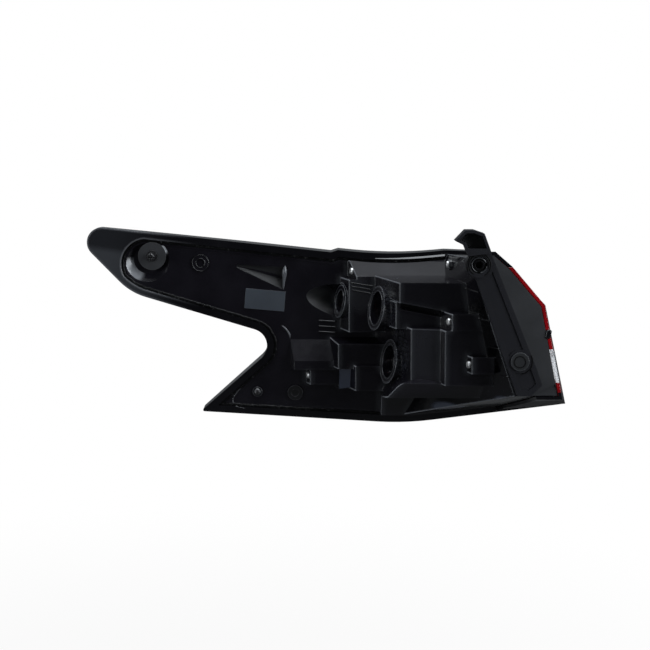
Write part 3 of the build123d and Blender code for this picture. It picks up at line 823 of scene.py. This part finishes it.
# chamfered edge of the rim's dip, which catches the light: its span, where rays drop on the rim's top,
# how far it lies under that, and its corners as (y, z)
# it widens from its left end: the width there, the full width and the share of the span that it takes
rimEdge = dict(
    span=(222, 291), steps=36, over=(1, 100), under=5.6, corners=((0.5, 2.1), (-1.6, 0.0), (0.5, -0.8)),
    widen=(0.25, 1.0, 0.6),
)


def makeRimEdge(look):
    work = bmesh.new()
    rows = []
    first, last = look["span"]
    narrow, full, reach = look["widen"]
    for i in range(look["steps"] + 1):
        x = first + (last - first) * i / look["steps"]
        top = skins["lens_border"].ray_cast(Vector((x, *look["over"])) * unit, down)[0]
        swell = narrow + (full - narrow) * min(1.0, i / look["steps"] / reach)
        level = top.z - look["under"] * unit
        front = seated("lens_border", x, level / unit).y
        spots = [(x * unit, front + y * swell * unit, level + z * swell * unit) for y, z in look["corners"]]
        rows.append([work.verts.new(spot) for spot in spots])
    for this, following in zip(rows, rows[1:]):
        for i in range(3):
            work.faces.new([this[i], this[i - 2], following[i - 2], following[i]])
    work.faces.new(rows[0])
    work.faces.new(rows[-1][::-1])
    bmesh.ops.recalc_face_normals(work, faces=work.faces)
    return keep(link("rimEdge", meshOf(work, "rimEdge", "borderBlack")), "border_black")


makeRimEdge(rimEdge)


def softened(work, radius, segments):
    bmesh.ops.bevel(
        work, geom=work.edges, offset=radius * unit, segments=segments, profile=0.5, affect="EDGES",
    )


# sloped facet in the corner of the prong, in a painted bluish highlight: corners of its face, the depth of
# its back and its edge radius
prongFacet = dict(
    face=((186.4, -8.3, -111.3), (198.0, -14.0, -105.7), (197.4, -14.0, -130.0), (186.0, -8.3, -132.4)),
    back=3.4, round=0.5,
)


def makeFacet(look):
    work = bmesh.new()
    front = [work.verts.new(Vector(corner) * unit) for corner in look["face"]]
    rear = [work.verts.new(Vector((x, look["back"], z)) * unit) for x, _, z in look["face"]]
    work.faces.new(front)
    work.faces.new(rear[::-1])
    for i in range(4):
        work.faces.new([front[i], rear[i], rear[i - 3], front[i - 3]])
    bmesh.ops.recalc_face_normals(work, faces=work.faces)
    softened(work, look["round"], 3)
    return keep(link("prongFacet", meshOf(work, "prongFacet", "facetSheen")), "black_gloss")


makeFacet(prongFacet)

# nub moulded on the lens edge beside the bracket: middle, size, turn in degrees and edge radius
lensNub = dict(middle=(376.8, -123.6, -60.0), size=(5.2, 5.6, 8.2), turn=11.0, round=1.2)


def makeNub(look):
    work = bmesh.new()
    bmesh.ops.create_cube(work, size=unit)
    bmesh.ops.scale(work, vec=look["size"], verts=work.verts)
    turned = Matrix.Rotation(math.radians(look["turn"]), 3, "Y")
    bmesh.ops.rotate(work, matrix=turned, verts=work.verts)
    softened(work, look["round"], 4)
    bmesh.ops.translate(work, vec=Vector(look["middle"]) * unit, verts=work.verts)
    mesh = meshOf(work, "lensNub", "borderBlack")
    mesh.shade_smooth()
    return keep(link("lensNub", mesh), "border_black")


makeNub(lensNub)
print("ridge, curls, rim edge, facet and nub made")


# screws with a cross recess: head size, the cross, and the head's outline in shares of its size
# then the frame's plain screw: its shank's length, the width of its tail and the depth of its top
screwLook = dict(
    radius=3.5, height=2.3, sides=28, crossLength=4.2, crossWidth=1.1, crossDepth=1.3,
    outline=((0.0, 1.0), (0.45, 0.97), (0.78, 0.8), (0.95, 0.5), (1.0, 0.2), (1.0, 0.0)),
    shank=9.0, tailWidth=3.8, topDepth=1.0,
)


def makeHead(name, look):
    # pan head turned round Z, seat at zero, cross cut from the top
    radius, height = look["radius"] * unit, look["height"] * unit
    work = bmesh.new()
    spots = [work.verts.new((radius * out, 0, height * up)) for out, up in look["outline"]]
    edges = [work.edges.new(pair) for pair in zip(spots, spots[1:])]
    around = dict(axis=(0, 0, 1), cent=(0, 0, 0), angle=math.tau, steps=look["sides"])
    bmesh.ops.spin(work, geom=spots + edges, **around)
    bmesh.ops.remove_doubles(work, verts=work.verts, dist=merge)
    bmesh.ops.holes_fill(work, edges=work.edges)
    bmesh.ops.recalc_face_normals(work, faces=work.faces)
    head = link(name, meshOf(work, name))
    arm = (look["crossLength"], look["crossWidth"])
    for length, width in (arm, arm[::-1]):
        cutter = bmesh.new()
        bmesh.ops.create_cube(cutter, size=unit)
        bmesh.ops.scale(cutter, vec=(length, width, 2 * look["crossDepth"]), verts=cutter.verts)
        bmesh.ops.translate(cutter, vec=(0, 0, height), verts=cutter.verts)
        tool = link("crossCutter", meshOf(cutter, "crossCutter"))
        change = head.modifiers.new("cross", "BOOLEAN")
        change.operation = "DIFFERENCE"
        change.object = tool
        settle(head)
        bpy.data.objects.remove(tool)
    return head


def islands(node):
    # corner points of each separate solid of a node
    work = bmesh.new()
    work.from_mesh(nodes[node].data)
    bmesh.ops.remove_doubles(work, verts=work.verts, dist=merge)
    left, found = set(work.verts), []
    while left:
        queue, group = [left.pop()], []
        while queue:
            vert = queue.pop()
            group.append(vert.co.copy())
            for edge in vert.link_edges:
                other = edge.other_vert(vert)
                if other in left:
                    left.remove(other)
                    queue.append(other)
        found.append(group)
    work.free()
    return found


def screwSeats(node, look):
    # each screw's seat and facing, from its two ends
    seats = []
    for group in islands(node):
        middle = sum(group, Vector()) / len(group)
        tail = max(group, key=lambda spot: (spot - middle).length)
        rest = [spot for spot in group if (spot - tail).length < look["tailWidth"] * unit]
        foot = sum(rest, Vector()) / len(rest)
        reach = max((spot - foot).length for spot in group)
        tops = [spot for spot in group if (spot - foot).length > reach - look["topDepth"] * unit]
        top = sum(tops, Vector()) / len(tops)
        facing = (top - foot).normalized()
        seats.append((foot + facing * look["shank"] * unit, facing))
    return seats


def screwSet(name, node, finish, slot, head):
    seats = screwSeats(node, screwLook)
    mesh = bpy.data.meshes.new(name)
    mesh.from_pydata([place for place, _ in seats], [], [])
    ways = mesh.attributes.new("facing", "FLOAT_VECTOR", "POINT")
    for value, (_, facing) in zip(ways.data, seats):
        value.vector = facing
    made = grown(link(name, mesh), trees["heads"], {"Head": head, "Material": materials[finish]})
    return keep(made, slot, node)


head = makeHead("screwHead", screwLook)
screwSet("crossScrews", "reflector_screws", "zincSteel", "zinc_steel", head)
screwSet("trayCrossScrew", "tray_screw", "screwGrey", "screw_black", head)
bpy.data.objects.remove(head)
print("screws made")

# sealant: the plain bead of the frame, made lumpy; sizes in millimetres, and the scale of the lumps
sealantLook = dict(voxel=0.5, depth=2.2, scale=330.0, grow=0.9)


def makeSealant(look):
    work = bmesh.new()
    work.from_mesh(nodes["sealant_bead"].data)
    bmesh.ops.remove_doubles(work, verts=work.verts, dist=merge)
    made = link("sealantRun", meshOf(work, "sealantRun"))
    change = made.modifiers.new("even", "REMESH")
    change.mode = "VOXEL"
    change.voxel_size = look["voxel"] * unit
    values = {"Depth": look["depth"] * unit, "Scale": look["scale"], "Grow": look["grow"] * unit}
    values["Material"] = materials["sealantBlack"]
    return keep(grown(made, trees["rough"], values), "sealant", "sealant_bead")


makeSealant(sealantLook)
print("sealant made")


# studio: a pale floor well below the hung lamp, and soft boxes
# the surroundings are white where seen straight and dim where they are only mirrored
studio = dict(
    tint=(0.9, 0.95, 1.0),
    softBoxes=[
        # name, place, aim, width, height, power
        ("topBox", (0.15, -0.32, 1.5), (0.17, 0.0, -0.05), 1.6, 0.8, 24),
        ("leftBox", (-1.35, -1.15, 0.1), (0.1, 0.0, -0.05), 0.6, 0.9, 9),
        ("rightBox", (1.42, -0.8, 0.42), (0.0, 0.0, -0.02), 0.9, 1.4, 30),
    ],
)
# floor: size in metres, drop below the lamp, tones, and how white it is seen near the lamp and far off
paleFloor = dict(
    size=12.0, drop=0.33, tones=(0.055, 0.065), rough=0.7, near=0.3, far=1.1, whites=(0.93, 1.0),
)
# surroundings: light on matt faces, then what gloss mirrors, each with the directions where it sets in
surroundings = dict(
    fill=0.3, ahead=0.03,
    behind=0.14, behindFrom=(-0.1, 0.5),
    above=0.62, aboveFrom=(0.3, 0.9), aboveBack=(-0.5, 0.1),
    left=0.12, leftFrom=(-0.95, -0.75), leftBack=(0.0, 0.25),
)


def rays(wire, kind):
    return wire.node("ShaderNodeLightPath", out=kind)


def seenStraight(wire):
    # rays from the camera, also through clear plastic
    return (rays(wire, "Is Camera Ray") + rays(wire, "Is Transmission Ray")).clamped()


def makeFloor(look):
    # seen straight, the floor is white far off and keeps its shadow near the lamp
    made, wire = startMaterial("paleFloor")
    white = smoothStep(wire, distance(wire, here(wire)), look["near"], look["far"], look["whites"])
    low, high = look["tones"]
    pale = noise(wire, places(wire), 3).ramp((0.3, low), (0.7, high))
    matt = wire.node("ShaderNodeBsdfPrincipled", None, {"Base Color": pale, "Roughness": look["rough"]})
    glow = wire.node("ShaderNodeEmission", None, {"Color": (1, 1, 1, 1), "Strength": 1.0})
    sockets = {0: seenStraight(wire) * white, 1: matt, 2: glow}
    endTree(wire, wire.node("ShaderNodeMixShader", None, sockets))
    half = look["size"] / 2
    level = cadBox[0].z - look["drop"]
    mesh = bpy.data.meshes.new("paleFloor")
    corners = [(-half, -half, level), (half, -half, level), (half, half, level), (-half, half, level)]
    mesh.from_pydata(corners, [], [(0, 1, 2, 3)])
    mesh.materials.append(made)
    link("paleFloor", mesh)


def makeWorld(look):
    world = bpy.data.worlds.new("studioWorld")
    scene.world = world
    world.use_nodes = True
    world.node_tree.nodes.clear()
    wire = Wire(world.node_tree)
    seen = seenStraight(wire)
    glossy = rays(wire, "Is Glossy Ray")
    way = wire.node("ShaderNodeTexCoord", out="Generated")
    side, back, up = [part(wire, way, axis) for axis in "XYZ"]
    behind = smoothStep(wire, back, *look["behindFrom"], (0.0, look["behind"]))
    above = smoothStep(wire, up, *look["aboveFrom"], (0.0, look["above"]))
    above = above * smoothStep(wire, back, *look["aboveBack"])
    left = smoothStep(wire, side, *look["leftFrom"], (look["left"], 0.0))
    left = left * smoothStep(wire, back, *look["leftBack"])
    shown = behind + above + left + look["ahead"]
    level = seen + (1 - seen) * (glossy * shown + (1 - glossy) * look["fill"])
    colour = seen.mixed((*studio["tint"], 1), (1, 1, 1, 1))
    light = wire.node("ShaderNodeBackground", None, {"Color": colour, "Strength": level})
    endTree(wire, light, "ShaderNodeOutputWorld")


def makeLights():
    for name, place, aim, width, height, power in studio["softBoxes"]:
        lamp = bpy.data.lights.new(name, "AREA")
        lamp.shape = "RECTANGLE"
        lamp.size = width
        lamp.size_y = height
        lamp.energy = power
        lamp.color = studio["tint"]
        holder = bpy.data.objects.new(name, lamp)
        holder.location = place
        holder.rotation_euler = (Vector(aim) - Vector(place)).to_track_quat("-Z", "Y").to_euler()
        scene.collection.objects.link(holder)


# camera: degrees down, metres away, the place it looks at, and its lens and sensor
photoCamera = dict(tilt=8.0, far=1.5, target=(0.172, 0.0, -0.069), lens=83.08, sensor=36.0, nearest=0.05)


def makeCamera(look):
    data = bpy.data.cameras.new("photoCamera")
    data.lens = look["lens"]
    data.sensor_width = look["sensor"]
    data.clip_start = look["nearest"]
    camera = bpy.data.objects.new("photoCamera", data)
    slope = math.radians(look["tilt"])
    camera.location = Vector(look["target"]) + look["far"] * Vector((0, -math.cos(slope), math.sin(slope)))
    camera.rotation_euler = (math.radians(90 - look["tilt"]), 0, 0)
    scene.collection.objects.link(camera)
    scene.camera = camera


makeFloor(paleFloor)
makeWorld(surroundings)
makeLights()
makeCamera(photoCamera)
scene.view_settings.view_transform = "Standard"
print("studio made")
